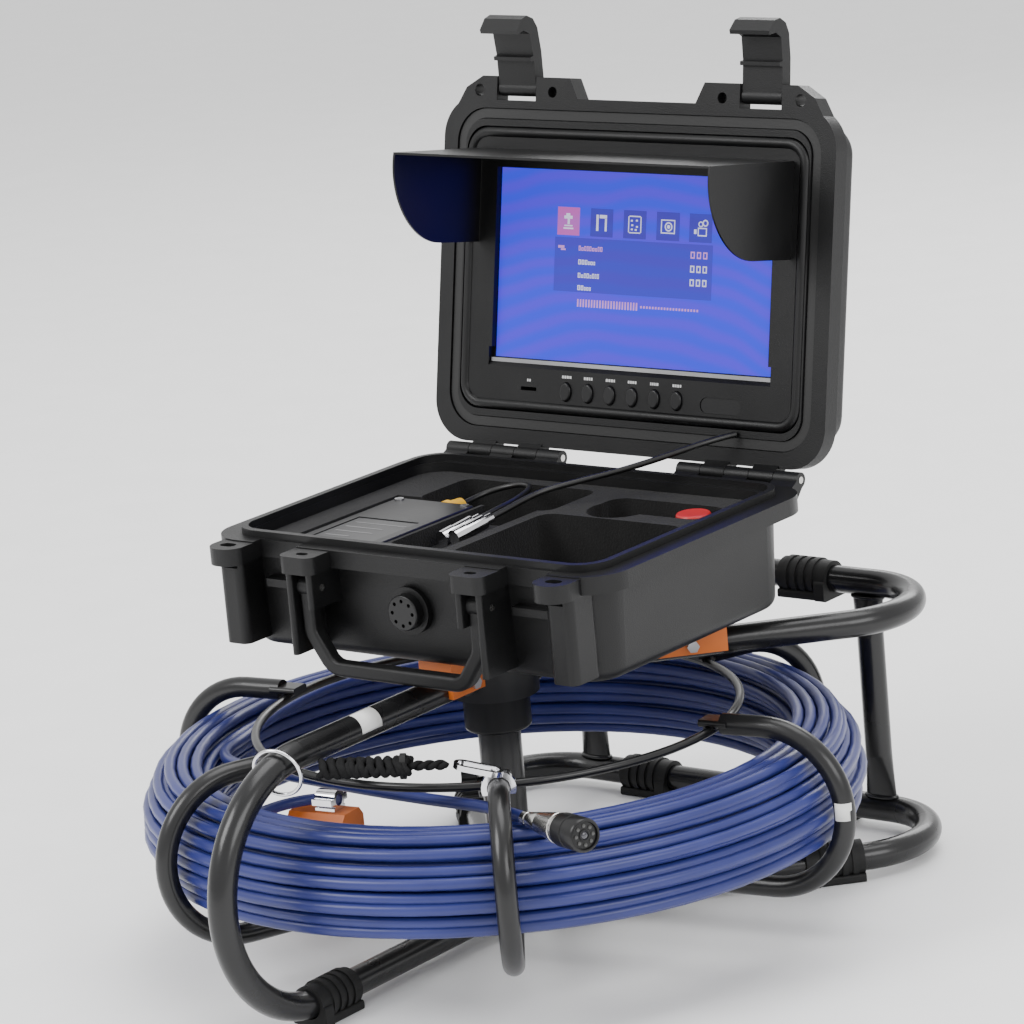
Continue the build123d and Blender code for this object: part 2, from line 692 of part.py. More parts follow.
# ---- lid ---------------------------------------------------------------------------
LVC = 108.3   # middle of the lid above its hinge
with BuildPart() as lid_shell:
    with BuildSketch(LID(-1.8)):
        with Locations((0, 107.0)):
            RectangleRounded(279, 204, 24)
        # front edge tabs for padlocks and latches
        for sx in (-1, 1):
            with BuildLine():
                Polyline((sx * 40, 205), (sx * 48, 221), (sx * 112, 221), (sx * 124, 214), (sx * 130, 204), (sx * 40, 205))
            make_face()
    extrude(amount=-11)
    with BuildSketch(LID(-10)):
        with Locations((0, LVC)):
            RectangleRounded(263, 187, 20)
    extrude(amount=-28.5, taper=5)
    fillet(lid_shell.faces().sort_by(Axis.Y)[-1].edges(), 7)
    with BuildSketch(LID(-1)):
        with Locations((0, LVC)):
            RectangleRounded(244, 167, 14)
    extrude(amount=-34.5, taper=3, mode=Mode.SUBTRACT)
    # gasket groove
    with BuildSketch(LID(0)):
        with Locations((0, LVC)):
            RectangleRounded(259, 188, 20.5)
            RectangleRounded(246, 175, 14, mode=Mode.SUBTRACT)
    extrude(amount=-5.5, mode=Mode.SUBTRACT)
    # latch pockets and holes
    with BuildSketch(LID(1)):
        for sx in (-1, 1):
            with Locations((sx * LATCH_X, 214.5)):
                Rectangle(28.8, 15)
            with Locations((sx * 114.2, 212.5)):
                Circle(3.6)
    extrude(amount=-60, mode=Mode.SUBTRACT)
    with BuildSketch(LID(1)):
        for sx in (-1, 1):
            with Locations((sx * 60.5, 212.5)):
                Circle(3.2)
    extrude(amount=-8, mode=Mode.SUBTRACT)
    for sx in (-1, 1):
        with BuildSketch(SIDE_LID(sx * LATCH_X - 18)):
            with Locations((LATCH_V, -7.0)):
                Circle(1.55)
        extrude(amount=36, mode=Mode.SUBTRACT)
    # hinge knuckles
    for sx in (-1, 1):
        for k in (1, 3):
            x0 = 42 + 16.8 * k + 0.2
            with BuildSketch(SIDE_LID(sx * (x0 + 8.2) - 8.2)):
                with BuildLine():
                    Polyline((7, -2.2), (1.5, 4.0), (-4, 0), (-1.5, -4.1), (7, -11.5), (7, -2.2))
                make_face()
                Circle(4.4)
            extrude(amount=16.4)
    with BuildSketch(YZ(-135)):
        with Locations((HINGE_Y, HINGE_Z)):
            Circle(2.05)
    extrude(amount=270, mode=Mode.SUBTRACT)
save(lid_shell, "lid_shell")

with BuildPart() as hinge_pins:
    for x in (-126.0, 42.0):
        with BuildSketch(YZ(x)):
            with Locations((HINGE_Y, HINGE_Z)):
                Circle(2.0)
        extrude(amount=84)
save(hinge_pins, "hinge_pins")

with BuildPart() as lid_gasket:
    with BuildSketch(LID(-5.5)):
        with Locations((0, LVC)):
            RectangleRounded(258, 187, 20)
            RectangleRounded(247, 176, 14.5, mode=Mode.SUBTRACT)
    extrude(amount=2.4)
save(lid_gasket, "lid_gasket")

with BuildPart() as monitor_bezel:
    with BuildSketch(LID(-14)):
        with Locations((0, LVC)):
            RectangleRounded(240, 163, 11)
    extrude(amount=5)
    with BuildSketch(LID(-9)):
        with Locations((0, LVC)):
            RectangleRounded(231, 157, 8)
    extrude(amount=7)
    # screen opening, with a sloped lower edge
    with BuildSketch(LID(-15)):
        with Locations((0, SCREEN_V)):
            Rectangle(198, 111.7)
    extrude(amount=15, mode=Mode.SUBTRACT)
    with BuildSketch(SIDE_LID(-101)):
        with BuildLine():
            Polyline((SCREEN_V - 55.8, -6.2), (SCREEN_V - 61.2, -1.9), (SCREEN_V - 50, -1.9), (SCREEN_V - 50, -6.2), (SCREEN_V - 55.8, -6.2))
        make_face()
    extrude(amount=202, mode=Mode.SUBTRACT)
    # button, sensor and card openings
    with BuildSketch(LID(-15)):
        for x in BUTTON_X:
            with Locations((x, BUTTON_V)):
                Ellipse(4.1, 5.9)
        with Locations((67, 37.4)):
            SlotOverall(28.2, 9.2)
        with Locations((-70.6, 38.7)):
            Rectangle(11.4, 2.2)
    extrude(amount=15, mode=Mode.SUBTRACT)
    # seat of the panel
    with BuildSketch(LID(-14.5)):
        with Locations((0, SCREEN_V)):
            Rectangle(207, 120)
    extrude(amount=8.2, mode=Mode.SUBTRACT)
save(monitor_bezel, "monitor_bezel")

with BuildPart() as lcd_panel:
    with BuildSketch(LID(-13.5)):
        with Locations((0, SCREEN_V)):
            Rectangle(206, 119)
    extrude(amount=7.1)
save(lcd_panel, "lcd_panel")

with BuildPart() as control_board:
    with BuildSketch(LID(-20)):
        with Locations((0, 44)):
            Rectangle(220, 22)
    extrude(amount=1.6)
save(control_board, "control_board")

with BuildPart() as sensor_window:
    with BuildSketch(LID(-6)):
        with Locations((67, 37.4)):
            SlotOverall(28.0, 9.0)
    extrude(amount=3.4)
save(sensor_window, "sensor_window")

for i, x in enumerate(BUTTON_X):
    with BuildPart() as button:
        with BuildSketch(LID(-12)):
            with Locations((x, BUTTON_V)):
                Ellipse(3.8, 5.6)
        extrude(amount=11.8)
        fillet(button.faces().sort_by(Axis.Y)[0].edges(), 1.2)
    save(button, f"button_{i + 1}")

# folding sun visor: a top sheet and two curved cheeks of thin flexible plastic
with BuildPart() as sun_visor:
    with BuildSketch(SIDE_LID(-112)):
        with BuildLine():
            Polyline((178.6, -1.2), (174.9, 80), (173.6, 80), (177.3, -1.2), (178.6, -1.2))
        make_face()
    extrude(amount=224)
    for x in (-112, 110.7):
        with BuildSketch(SIDE_LID(x)):
            with BuildLine():
                l1 = Line((178.0, -1.2), (123.2, -1.2))
                l2 = Line(l1 @ 1, (122.6, 36))
                l3 = Spline(l2 @ 1, (128.5, 57), (144, 73), (174.4, 80))
                Line(l3 @ 1, l1 @ 0)
            make_face()
        extrude(amount=1.3)
save(sun_visor, "sun_visor")

# ---- latches -----------------------------------------------------------------------
# each swings forward a little from upright as it stands open
LATCH_SHAPE = [
    (0, -4.4), (22, -5.6), (36, -4.6), (42, -1.5), (45, 4.0), (44, 9.5), (38.5, 15.2), (36.2, 14.6),
    (37.0, 8.5), (34.0, 3.4), (20.6, 2.4), (20.2, 5.4), (18.0, 5.4), (17.6, 2.6), (0, 3.6), (0, -4.4),
]
for sx, lean, node in ((-1, 15.0, "latch_left"), (1, 6.0, "latch_right")):
    cl, sl = cos(radians(lean)), sin(radians(lean))
    turned = [(LATCH_V + p * cl - q * sl, -7.0 + p * sl + q * cl) for p, q in LATCH_SHAPE]
    with BuildPart() as latch:
        with BuildSketch(SIDE_LID(sx * LATCH_X - 13.6)):
            with Locations((LATCH_V, -7.0)):
                Circle(4.5)
            with BuildLine():
                Polyline(*turned)
            make_face()
            with Locations((LATCH_V, -7.0)):
                Circle(1.55, mode=Mode.SUBTRACT)
        extrude(amount=27.2)
    save(latch, node)

with BuildPart() as latch_pins:
    for sx in (-1, 1):
        with BuildSketch(SIDE_LID(sx * LATCH_X - 17.4)):
            with Locations((LATCH_V, -7.0)):
                Circle(1.5)
        extrude(amount=34.8)
save(latch_pins, "latch_pins")

# ---- leads inside the case ---------------------------------------------------------
VIDEO_LEAD = [
    (79.5, 138.3, 258.0),
    (73.5, 125.5, 257.6),
    (61.0, 112.0, 253.6),
    (45.5, 99.0, 248.6),
    (29.0, 86.0, 244.2),
    (13.0, 73.0, 241.0),
    (0.5, 59.5, 238.4),
    (-4.2, 46.5, 236.0),
    (-6.5, 34.0, 233.5),
    (-9.0, 21.5, 231.2),
]
BATTERY_LEAD = [
    (-68.0, 67.6, 222.0),
    (-66.5, 80.0, 224.0),
    (-58.0, 90.5, 227.0),
    (-45.0, 94.5, 229.6),
    (-32.5, 88.5, 231.2),
    (-25.0, 77.0, 231.9),
    (-20.0, 63.5, 232.4),
    (-16.0, 49.5, 232.6),
    (-16.0, 35.0, 231.9),
    (-18.5, 22.5, 229.6),
]
for points, dia, node in ((VIDEO_LEAD, 3.6, "video_lead"), (BATTERY_LEAD, 3.4, "battery_lead")):
    with BuildPart() as lead:
        pts = [(x, y + HY, z) for x, y, z in points]
        with BuildLine() as path:
            FilletPolyline(*pts, radius=cord_radii(pts, node))
        with BuildSketch(Plane(origin=path.line @ 0, z_dir=path.line % 0)):
            Circle(dia / 2)
        sweep(path=path.line)
    print(node, "length", sum(e.length for e in path.line.edges()), "volume/section", lead.part.volume / (pi * (dia / 2) ** 2))
    save(lead, node)
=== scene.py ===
import bpy
import json
import math
import random
from mathutils import Matrix, Vector


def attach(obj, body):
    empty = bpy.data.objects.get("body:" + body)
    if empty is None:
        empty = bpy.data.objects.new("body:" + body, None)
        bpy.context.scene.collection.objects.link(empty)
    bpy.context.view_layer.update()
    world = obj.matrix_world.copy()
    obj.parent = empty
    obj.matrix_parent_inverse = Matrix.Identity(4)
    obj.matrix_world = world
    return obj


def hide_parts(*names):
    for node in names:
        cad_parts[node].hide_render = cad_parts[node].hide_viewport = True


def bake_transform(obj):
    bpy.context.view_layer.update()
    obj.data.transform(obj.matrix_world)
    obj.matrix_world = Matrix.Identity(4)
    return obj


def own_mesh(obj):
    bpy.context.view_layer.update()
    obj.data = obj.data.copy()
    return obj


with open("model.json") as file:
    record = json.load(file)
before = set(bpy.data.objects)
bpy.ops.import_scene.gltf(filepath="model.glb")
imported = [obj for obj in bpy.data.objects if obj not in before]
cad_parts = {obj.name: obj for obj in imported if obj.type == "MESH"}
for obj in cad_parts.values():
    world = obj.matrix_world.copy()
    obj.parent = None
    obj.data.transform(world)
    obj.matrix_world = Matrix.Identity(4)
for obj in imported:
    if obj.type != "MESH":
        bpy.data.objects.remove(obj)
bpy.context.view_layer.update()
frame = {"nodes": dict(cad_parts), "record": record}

random.seed(7)
N = frame["nodes"]
HY = 7.85
TILT = math.radians(11.4)
CT, ST = math.cos(TILT), math.sin(TILT)


def H(x, y, z):
    return Vector((x, y + HY, z)) / 1000


def L(x, v, w):
    return Vector((x, HY + 133.5 + v * ST - w * CT, 236 + v * CT + w * ST)) / 1000


LX, LV, LW = Vector((1, 0, 0)), Vector((0, ST, CT)), Vector((0, -CT, ST))

# ---- camera ------------------------------------------------------------------------
right = Vector((0.79067, 0.60598, -0.08733))
down = Vector((0.08104, -0.24496, -0.96614))
fwd = Vector((-0.60686, 0.75682, -0.24279))
cam_data = bpy.data.cameras.new("photo_camera")
cam_data.lens = 165.06
cam_data.sensor_width = 36
cam_data.clip_end = 30
cam = bpy.data.objects.new("photo_camera", cam_data)
bpy.context.collection.objects.link(cam)
cam.matrix_world = Matrix.Translation(H(1601.24, -1967.74, 873.98)) @ Matrix(
    ((right.x, -down.x, -fwd.x, 0), (right.y, -down.y, -fwd.y, 0), (right.z, -down.z, -fwd.z, 0), (0, 0, 0, 1))
)
bpy.context.scene.camera = cam


# ---- materials ---------------------------------------------------------------------
def mat(name, col, rough, metal=0.0, bump=0.0, scale=600.0, var=0.12, rvar=0.1, coat=0.0, spec=None,
        stretch=None, detail=4.0, sheen=0.0, dist=0.0004):
    m = bpy.data.materials.new(name)
    m.use_nodes = True
    nt = m.node_tree
    b = nt.nodes["Principled BSDF"]
    b.inputs["Metallic"].default_value = metal
    if coat:
        b.inputs["Coat Weight"].default_value = coat
        b.inputs["Coat Roughness"].default_value = 0.12
    if spec is not None:
        b.inputs["Specular IOR Level"].default_value = spec
    if sheen:
        b.inputs["Sheen Weight"].default_value = sheen
        b.inputs["Sheen Roughness"].default_value = 0.5
    tc = nt.nodes.new("ShaderNodeTexCoord")
    mp = nt.nodes.new("ShaderNodeMapping")
    if stretch:
        mp.inputs["Scale"].default_value = stretch
    nt.links.new(tc.outputs["Object"], mp.inputs["Vector"])
    big = nt.nodes.new("ShaderNodeTexNoise")
    big.inputs["Scale"].default_value = 22.0
    big.inputs["Detail"].default_value = 3.0
    nt.links.new(tc.outputs["Object"], big.inputs["Vector"])
    ramp = nt.nodes.new("ShaderNodeValToRGB")
    lo = [max(0.0, c * (1 - var)) for c in col]
    hi = [min(1.0, c * (1 + var) + 0.002) for c in col]
    ramp.color_ramp.elements[0].position = 0.3
    ramp.color_ramp.elements[1].position = 0.7
    ramp.color_ramp.elements[0].color = (*lo, 1)
    ramp.color_ramp.elements[1].color = (*hi, 1)
    nt.links.new(big.outputs["Fac"], ramp.inputs["Fac"])
    nt.links.new(ramp.outputs["Color"], b.inputs["Base Color"])
    mr = nt.nodes.new("ShaderNodeMapRange")
    mr.inputs["From Min"].default_value = 0.3
    mr.inputs["From Max"].default_value = 0.7
    mr.inputs["To Min"].default_value = max(0.03, rough - rvar * rough)
    mr.inputs["To Max"].default_value = min(1.0, rough + rvar * rough)
    nt.links.new(big.outputs["Fac"], mr.inputs["Value"])
    nt.links.new(mr.outputs["Result"], b.inputs["Roughness"])
    if bump:
        fine = nt.nodes.new("ShaderNodeTexNoise")
        fine.inputs["Scale"].default_value = scale
        fine.inputs["Detail"].default_value = detail
        nt.links.new(mp.outputs["Vector"], fine.inputs["Vector"])
        bp = nt.nodes.new("ShaderNodeBump")
        bp.inputs["Strength"].default_value = bump
        bp.inputs["Distance"].default_value = dist
        nt.links.new(fine.outputs["Fac"], bp.inputs["Height"])
        nt.links.new(bp.outputs["Normal"], b.inputs["Normal"])
    return m


M = {
    "tube_paint": mat("tube_paint", (0.006, 0.006, 0.0065), 0.27, bump=0.1, scale=260, coat=0.15, detail=2, spec=0.4),
    "cage_paint": mat("cage_paint", (0.006, 0.006, 0.0065), 0.3, bump=0.1, scale=260, coat=0.12, detail=2, spec=0.4),
    "hub_paint": mat("hub_paint", (0.007, 0.007, 0.0075), 0.35, bump=0.15, scale=400),
    "steel": mat("steel", (0.56, 0.55, 0.53), 0.24, metal=1.0, bump=0.12, scale=900, stretch=(1, 1, 0.05)),
    "zinc": mat("zinc", (0.5, 0.5, 0.51), 0.32, metal=1.0, bump=0.1, scale=500),
    "chrome": mat("chrome", (0.75, 0.75, 0.77), 0.1, metal=1.0, bump=0.03, scale=300),
    "foot_rubber": mat("foot_rubber", (0.007, 0.007, 0.007), 0.6, bump=0.3, scale=900, spec=0.3),
    "saddle_orange": mat("saddle_orange", (0.6, 0.14, 0.016), 0.42, bump=0.15, scale=700),
    "case_plastic": mat("case_plastic", (0.0045, 0.0045, 0.0048), 0.42, bump=0.5, scale=1500, detail=3, dist=0.0003, spec=0.32),
    "bezel_plastic": mat("bezel_plastic", (0.004, 0.004, 0.0043), 0.36, bump=0.3, scale=2200, detail=2, spec=0.3),
    "screen": mat("screen", (0.06, 0.09, 0.7), 0.25),
    "visor_plastic": mat("visor_plastic", (0.004, 0.004, 0.0043), 0.42, bump=0.15, scale=900, spec=0.3),
    "foam": mat("foam", (0.009, 0.0088, 0.0088), 0.95, bump=1.0, scale=900, detail=6, var=0.35, sheen=0.06, spec=0.2, dist=0.0008),
    "gasket": mat("gasket", (0.008, 0.008, 0.008), 0.5, bump=0.2, scale=700),
    "knob_plastic": mat("knob_plastic", (0.006, 0.006, 0.0065), 0.33, bump=0.15, scale=700, spec=0.35),
    "lens_glass": mat("lens_glass", (0.02, 0.02, 0.03), 0.05, coat=1.0),
    "cable_jacket": mat("cable_jacket", (0.020, 0.027, 0.145), 0.36, bump=0.08, scale=500, var=0.16, coat=0.06, spec=0.4),
    "lead_jacket": mat("lead_jacket", (0.006, 0.006, 0.006), 0.36, bump=0.1, scale=700),
    "cord_weave": mat("cord_weave", (0.005, 0.005, 0.0055), 0.7, bump=0.8, scale=1600, stretch=(1, 1, 1), spec=0.15, dist=0.0004),
    "lip_silver": mat("lip_silver", (0.32, 0.32, 0.33), 0.35, metal=0.7, bump=0.1, scale=800),
    "bush_plastic": mat("bush_plastic", (0.018, 0.018, 0.018), 0.5, bump=0.2, scale=500),
    "cap_red": mat("cap_red", (0.5, 0.02, 0.02), 0.35, bump=0.1, scale=500),
    "plug_yellow": mat("plug_yellow", (0.75, 0.42, 0.02), 0.35, bump=0.1, scale=500),
    "label_silver": mat("label_silver", (0.012, 0.012, 0.013), 0.3, metal=0.0, bump=0.1, scale=800),
    "board": mat("board", (0.01, 0.1, 0.03), 0.5, bump=0.1, scale=800),
    "white_label": mat("white_label", (0.72, 0.72, 0.7), 0.5, bump=0.05, scale=500, var=0.04),
    "grey_print": mat("grey_print", (0.16, 0.16, 0.16), 0.55, bump=0.05, scale=500, var=0.05),
    "white_print": mat("white_print", (0.55, 0.55, 0.55), 0.55, bump=0.05, scale=500, var=0.05),
    # dark_hole: near-black colour used as painted shade in holes and recesses
    "dark_hole": mat("dark_hole", (0.003, 0.003, 0.003), 0.7, bump=0.2, scale=700),
    "led": mat("led", (0.03, 0.03, 0.028), 0.3, bump=0.05, scale=500, coat=0.6),
    "orange_ring": mat("orange_ring", (0.62, 0.15, 0.02), 0.4, bump=0.1, scale=500),
}
SLOT = {s["node"]: s["material_slot"] for s in frame["record"]["subparts"]}
for node, obj in N.items():
    want = M[SLOT[node]]
    if not obj.material_slots:
        obj.data.materials.append(want)
    for ms in obj.material_slots:
        ms.material = want
# the bearing collar is made black; the bushes and the lid's gasket (a shade lighter) keep the materials of their slots
for node in ("bearing_collar",):
    for ms in N[node].material_slots:
        ms.material = M["knob_plastic"]


def glow(name, col, strength, pattern=0.0, alt=None):
    """a lit part of the picture; alt is the second tint of its faint interference bands"""
    m = bpy.data.materials.new(name)
    m.use_nodes = True
    nt = m.node_tree
    b = nt.nodes["Principled BSDF"]
    b.inputs["Roughness"].default_value = 0.4
    b.inputs["Specular IOR Level"].default_value = 0.15
    b.inputs["Emission Strength"].default_value = strength
    tc = nt.nodes.new("ShaderNodeTexCoord")
    wave = nt.nodes.new("ShaderNodeTexWave")
    wave.wave_type = "RINGS"
    wave.rings_direction = "Y"
    wave.inputs["Scale"].default_value = 26.0
    wave.inputs["Distortion"].default_value = 5.0
    wave.inputs["Detail"].default_value = 1.5
    wave.inputs["Detail Scale"].default_value = 0.6
    nt.links.new(tc.outputs["Object"], wave.inputs["Vector"])
    ramp = nt.nodes.new("ShaderNodeValToRGB")
    alt = alt or tuple(c * (1 - pattern) for c in col)
    ramp.color_ramp.elements[0].color = (*alt, 1)
    ramp.color_ramp.elements[1].color = (*col, 1)
    ramp.color_ramp.elements[0].position = 0.1
    ramp.color_ramp.elements[1].position = 0.9
    nt.links.new(wave.outputs["Color"], ramp.inputs["Fac"])
    nt.links.new(ramp.outputs["Color"], b.inputs["Emission Color"])
    dark = nt.nodes.new("ShaderNodeMix")
    dark.data_type = "RGBA"
    dark.inputs["Factor"].default_value = 0.8
    dark.inputs["B"].default_value = (0.0, 0.0, 0.01, 1)
    nt.links.new(ramp.outputs["Color"], dark.inputs["A"])
    nt.links.new(dark.outputs["Result"], b.inputs["Base Color"])
    return m


# ---- piece builders ----------------------------------------------------------------
def put(obj, material, body):
    if obj.name not in bpy.context.collection.objects:
        bpy.context.collection.objects.link(obj)
    obj.data.materials.append(material)
    if body:
        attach(obj, body)
    return obj


def mesh(name, verts, faces, material, body, smooth=False, bevel=0.0, segs=2):
    me = bpy.data.meshes.new(name)
    me.from_pydata([tuple(v) for v in verts], [], faces)
    me.update()
    if smooth:
        for p in me.polygons:
            p.use_smooth = True
    o = bpy.data.objects.new(name, me)
    put(o, material, body)
    if bevel:
        bv = o.modifiers.new("bevel", "BEVEL")
        bv.width = bevel
        bv.segments = segs
        bv.limit_method = "ANGLE"
    return o


def slab(name, org, ax, ay, az, x0, x1, y0, y1, z0, z1, material, body, bevel=0.0):
    """a box in the frame (org, ax, ay, az), sides in mm"""
    v = [org + ax * (x / 1000) + ay * (y / 1000) + az * (z / 1000)
         for z in (z0, z1) for x, y in ((x0, y0), (x1, y0), (x1, y1), (x0, y1))]
    f = [(3, 2, 1, 0), (4, 5, 6, 7), (0, 1, 5, 4), (1, 2, 6, 5), (2, 3, 7, 6), (3, 0, 4, 7)]
    return mesh(name, v, f, material, body, bevel=bevel)


def on_screen(name, x0, x1, v0, v1, w0, w1, material, body="lid", bevel=0.0):
    return slab(name, L(0, 0, 0), LX, LV, LW, x0, x1, v0, v1, w0, w1, material, body, bevel)


def lathe(name, centre, axis, profile, material, body, n=40, smooth=True):
    """profile: (distance along axis mm, radius mm); ends with radius 0 close it"""
    axis = axis.normalized()
    u = axis.orthogonal().normalized()
    w = axis.cross(u)
    verts, faces, rings = [], [], []
    for d, r in profile:
        c = centre + axis * (d / 1000)
        if r < 1e-6:
            rings.append([len(verts)])
            verts.append(c)
        else:
            rings.append(list(range(len(verts), len(verts) + n)))
            for k in range(n):
                a = 2 * math.pi * k / n
                verts.append(c + (u * math.cos(a) + w * math.sin(a)) * (r / 1000))
    for a, b in zip(rings, rings[1:]):
        for k in range(n):
            q = (k + 1) % n
            if len(a) == 1 and len(b) == 1:
                continue
            if len(a) == 1:
                faces.append((a[0], b[q], b[k]))
            elif len(b) == 1:
                faces.append((a[k], a[q], b[0]))
            else:
                faces.append((a[k], a[q], b[q], b[k]))
    o = mesh(name, verts, faces, material, body, smooth=False)
    for p in o.data.polygons:
        p.use_smooth = smooth
    if smooth:
        o.data.set_sharp_from_angle(angle=math.radians(35))
    return o


def screw(name, centre, axis, r, material, body, proud=1.2):
    """pan head with a cross recess shown by two dark bars: painted shade on the head where the recess would be shaded
    """
    o = lathe(name, centre, axis, [(-0.4, 0), (-0.4, r), (proud * 0.5, r), (proud, r * 0.72), (proud, 0)], material, body, n=24)
    a = axis.normalized()
    u = a.orthogonal().normalized()
    w = a.cross(u)
    # painted shade: two thin dark slabs standing in for the shaded cross recess
    for i, (p, q) in enumerate(((u, w), (w, u))):
        slab(f"{name}_x{i}", centre, p, q, a, -r * 0.55, r * 0.55, -r * 0.12, r * 0.12, proud - 0.25, proud + 0.05, M["dark_hole"], body)
    return o


def rod(name, points, r, material, body, cyclic=False, nurbs=True, res=6, bres=4, radii=None, keep_curve=False):
    cu = bpy.data.curves.new(name, "CURVE")
    cu.dimensions = "3D"
    cu.bevel_depth = r / 1000
    cu.bevel_resolution = bres
    cu.resolution_u = res
    cu.use_fill_caps = True
    sp = cu.splines.new("NURBS" if nurbs else "POLY")
    sp.points.add(len(points) - 1)
    for i, p in enumerate(points):
        sp.points[i].co = (*p, 1)
        if radii:
            sp.points[i].radius = radii[i]
    sp.use_cyclic_u = cyclic
    if nurbs:
        sp.order_u = 3
        if not cyclic:
            sp.use_endpoint_u = True
    c = bpy.data.objects.new(name, cu)
    bpy.context.collection.objects.link(c)
    if keep_curve:
        return c
    me = bpy.data.meshes.new_from_object(c)
    bpy.data.objects.remove(c)
    for p in me.polygons:
        p.use_smooth = True
    o = bpy.data.objects.new(name, me)
    bpy.context.collection.objects.link(o)
    return put(o, material, body)


def cord_tube(name, points, r, material, body, res=6, bres=4):
    """(mesh tube, the points of the line it follows)"""
    c = rod(name, points, r, material, None, res=res, bres=bres, keep_curve=True)
    path = line_of(c)
    me = bpy.data.meshes.new_from_object(c)
    bpy.data.objects.remove(c)
    for p in me.polygons:
        p.use_smooth = True
    o = bpy.data.objects.new(name, me)
    bpy.context.collection.objects.link(o)
    return put(o, material, body), path


def line_of(obj):
    """points along a curve object's own line, in metres"""
    cu = obj.data
    keep = cu.bevel_depth
    cu.bevel_depth = 0
    me = bpy.data.meshes.new_from_object(obj)
    cu.bevel_depth = keep
    pts = [v.co.copy() for v in me.vertices]
    bpy.data.meshes.remove(me)
    return pts


# ---- the push rod: clamp, 42 turns in the cage, free tail, camera head --------------
ROW_R = [198.1, 201.5, 203.3, 203.8, 202.9, 200.6, 196.4, 189.6]
ROW_N = [5, 6, 6, 6, 6, 5, 5, 4]
Z0, PITCH, R_IN = 62.2, 6.9, 167.2
STEP = 22.5
CUT = 2.0 / (1.0 + math.cos(math.radians(STEP / 2)))


def polar(r, deg, z):
    return H(r * math.cos(math.radians(deg)), r * math.sin(math.radians(deg)), z)


pts = [polar(113.0, 188, 63.4), polar(122.0, 188.2, 63.4), polar(133.0, 190.5, 63.3), polar(146.0, 197, 63.1),
       polar(157.5, 208, 62.8), polar(165.0, 224, 62.5)]
deg = 242.0
rng = random.Random(3)
phase = [rng.uniform(0, 6.28) for _ in range(60)]
turn = 0.0
pieces = []
for i in range(8):
    a, b = (R_IN, ROW_R[i]) if i % 2 == 0 else (ROW_R[i], R_IN)
    n = ROW_N[i] - 1 - (0.23 if i == 0 else 0)
    pieces.append((n, a, b, Z0 + PITCH * i, Z0 + PITCH * i))
    if i < 7:
        nxt = ROW_R[i + 1] if i % 2 == 0 else R_IN
        pieces.append((1.0, b, nxt, Z0 + PITCH * i, Z0 + PITCH * (i + 1)))
for k, (n, ra, rb, za, zb) in enumerate(pieces):
    steps = max(1, round(n * 360 / STEP))
    for j in range(steps):
        t = j / steps
        ang = deg + n * 360 * t
        rise = t if n > 1.5 else max(0.0, min(1.0, (t - 0.2) / 0.8))
        zz = za + (zb - za) * rise
        wob = 0.28 * math.sin(math.radians(ang * 1.37) + phase[k]) + 0.2 * math.sin(math.radians(ang * 2.9) + phase[-k - 1])
        rr = (ra + (rb - ra) * t) * CUT + wob * 0.6
        pts.append(polar(rr, ang, zz + wob))
    deg += n * 360
pts += [polar(167.5, 160, 109.6), polar(166.6, 172, 107.0), polar(165.2, 184, 103.8)]
TAIL = [
    (-157.2, -41.0, 102.0),
    (-149.0, -66.0, 104.0),
    (-131.0, -86.5, 106.5),
    (-104.0, -99.5, 109.0),
    (-70.0, -106.5, 111.0),
    (-33.0, -111.0, 112.0),
    (8.0, -114.5, 112.6),
    (46.0, -116.5, 113.4),
    (78.0, -120.0, 115.6),
    (103.0, -128.0, 117.9),
    (124.5, -136.0, 118.9),
]
pts += [H(*p) for p in TAIL]
push_rod, push_path = cord_tube("push_rod", pts, 3.35, M["cable_jacket"], "reel", res=4, bres=4)
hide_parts("cable_coil", "cable_tail")

HEAD_A, HEAD_B = H(124.5, -136.0, 118.9), H(182.5, -159.0, 123.6)
HD = (HEAD_B - HEAD_A).normalized()
cone = lathe("camera_cone", HEAD_A, HD, [(-3, 0), (-3, 3.9), (1.2, 4.05), (1.6, 3.7), (2.2, 3.7), (2.6, 4.1), (13, 5.6), (13.4, 5.4), (14.0, 5.4),
             (14.4, 5.8), (29, 8.0), (33, 8.5), (33.4, 8.2), (34.2, 8.2), (34.6, 8.6), (37, 8.6), (37, 0)], M["steel"], "reel", n=48)
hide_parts("camera_head")
cap = lathe("camera_cap", HEAD_A + HD * 0.037, HD, [(0, 0), (0, 8.9), (1.2, 9.2), (9.6, 9.2), (9.9, 8.8), (10.7, 8.8), (11.0, 9.2), (20.2, 9.2), (21.6, 8.6), (22, 8.0), (21.6, 7.4),
            (19.9, 7.1), (19.9, 0)], M["knob_plastic"], "reel", n=48)
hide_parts("lens_cap")
led_plate = lathe("camera_led_plate", HEAD_A + HD * 0.0569, HD, [(0, 0), (0, 7.0), (0.4, 7.0), (0.4, 3.3), (0.9, 3.1), (0.9, 2.4), (0.5, 2.2), (0.5, 0)], M["knob_plastic"], "reel")
hu = HD.orthogonal().normalized()
hw = HD.cross(hu)
for k in range(8):
    a = 2 * math.pi * k / 8
    lathe(f"camera_led_{k}", HEAD_A + HD * 0.0573 + (hu * math.cos(a) + hw * math.sin(a)) * 0.0051, HD,
                      [(0, 0), (0, 1.15), (0.5, 1.0), (0.8, 0)], M["led"], "reel", n=16)
lens = lathe("camera_lens", HEAD_A + HD * 0.0573, HD, [(0, 0), (0, 2.2), (0.5, 1.9), (0.9, 1.1), (1.05, 0)], M["lens_glass"], "reel", n=24)
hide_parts("lens_window")

